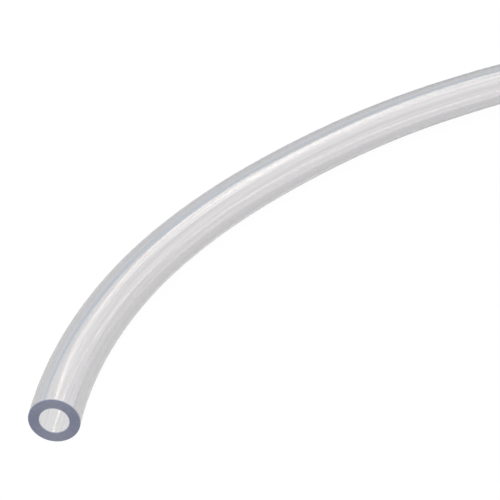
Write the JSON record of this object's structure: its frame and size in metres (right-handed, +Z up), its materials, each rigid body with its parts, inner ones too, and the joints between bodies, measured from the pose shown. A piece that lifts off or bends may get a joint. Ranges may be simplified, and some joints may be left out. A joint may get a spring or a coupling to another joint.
{
  "type": "silicone tubing coil",
  "caption": "Length of soft clear laboratory tubing with a round bore: one free end in a gentle curve, the rest wound into a neat round coil.",
  "frame": {"origin": "centre of the free end's cut face, on the bore's axis", "axes": "+Z up from the surface that the tube lies on, -Y out of the free end's bore, +X towards the coil"},
  "size_m": [0.2482, 0.1751, 0.0457],
  "materials": {
    "clear_elastomer": "smooth extruded, slightly hazy and clear"
  },
  "bodies": {
    "root": {"free_length": "clear_elastomer", "coil": "clear_elastomer"}
  },
  "joints": []
}
